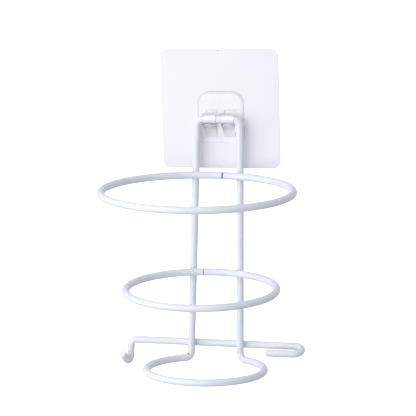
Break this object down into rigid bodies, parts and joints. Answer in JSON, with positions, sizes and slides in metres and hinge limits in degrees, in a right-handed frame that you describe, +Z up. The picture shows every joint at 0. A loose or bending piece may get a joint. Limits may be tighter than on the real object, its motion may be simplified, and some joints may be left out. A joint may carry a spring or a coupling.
{
  "type": "hair dryer holder",
  "caption": "Wall holder for a hair dryer: coated wire rings on two legs hang from a clear double hook on a square adhesive pad, with cord hooks low at both sides.",
  "frame": {"origin": "middle of the adhesive's wall face", "axes": "+Z up, +Y into the wall, +X to the right for a person who faces the wall"},
  "size_m": [0.1242, 0.1294, 0.2035],
  "materials": {
    "gel_adhesive": "clear soft adhesive with a faint milky tint",
    "carrier_film": "clear film, smooth",
    "bond_glue": "clear glue line",
    "clear_plastic": "clear injection-moulded plastic, polished",
    "wire_coat": "cool white powder coat, satin, slight orange peel",
    "weld_coat": "powder coat over a weld, satin"
  },
  "bodies": {
    "wall_hook": {"adhesive_sheet": "gel_adhesive", "carrier_film": "carrier_film", "plate_bond": "bond_glue", "hook_plate": "clear_plastic"},
    "hanger": {"hanger_bar": "wire_coat"},
    "rack": {"left_leg": "wire_coat", "right_leg_and_cup_ring": "wire_coat", "upper_ring": "wire_coat", "middle_ring": "wire_coat", "crossbar": "wire_coat", "weld_upper_ring_left": "weld_coat", "weld_upper_ring_right": "weld_coat", "weld_middle_ring_left": "weld_coat", "weld_middle_ring_right": "weld_coat", "weld_crossbar_left": "weld_coat", "weld_crossbar_right": "weld_coat", "closure_weld": "weld_coat"}
  },
  "joints": [
    {"name": "lift_off", "type": "slide", "parent": "wall_hook", "child": "hanger", "axis": [0, 0, 1], "range_m": [0, 0.012]},
    {"name": "swing_out", "type": "hinge", "parent": "hanger", "child": "rack", "pos_m": [0, -0.0075, -0.0058], "axis": [-1, 0, 0], "range_deg": [0, 105]}
  ]
}
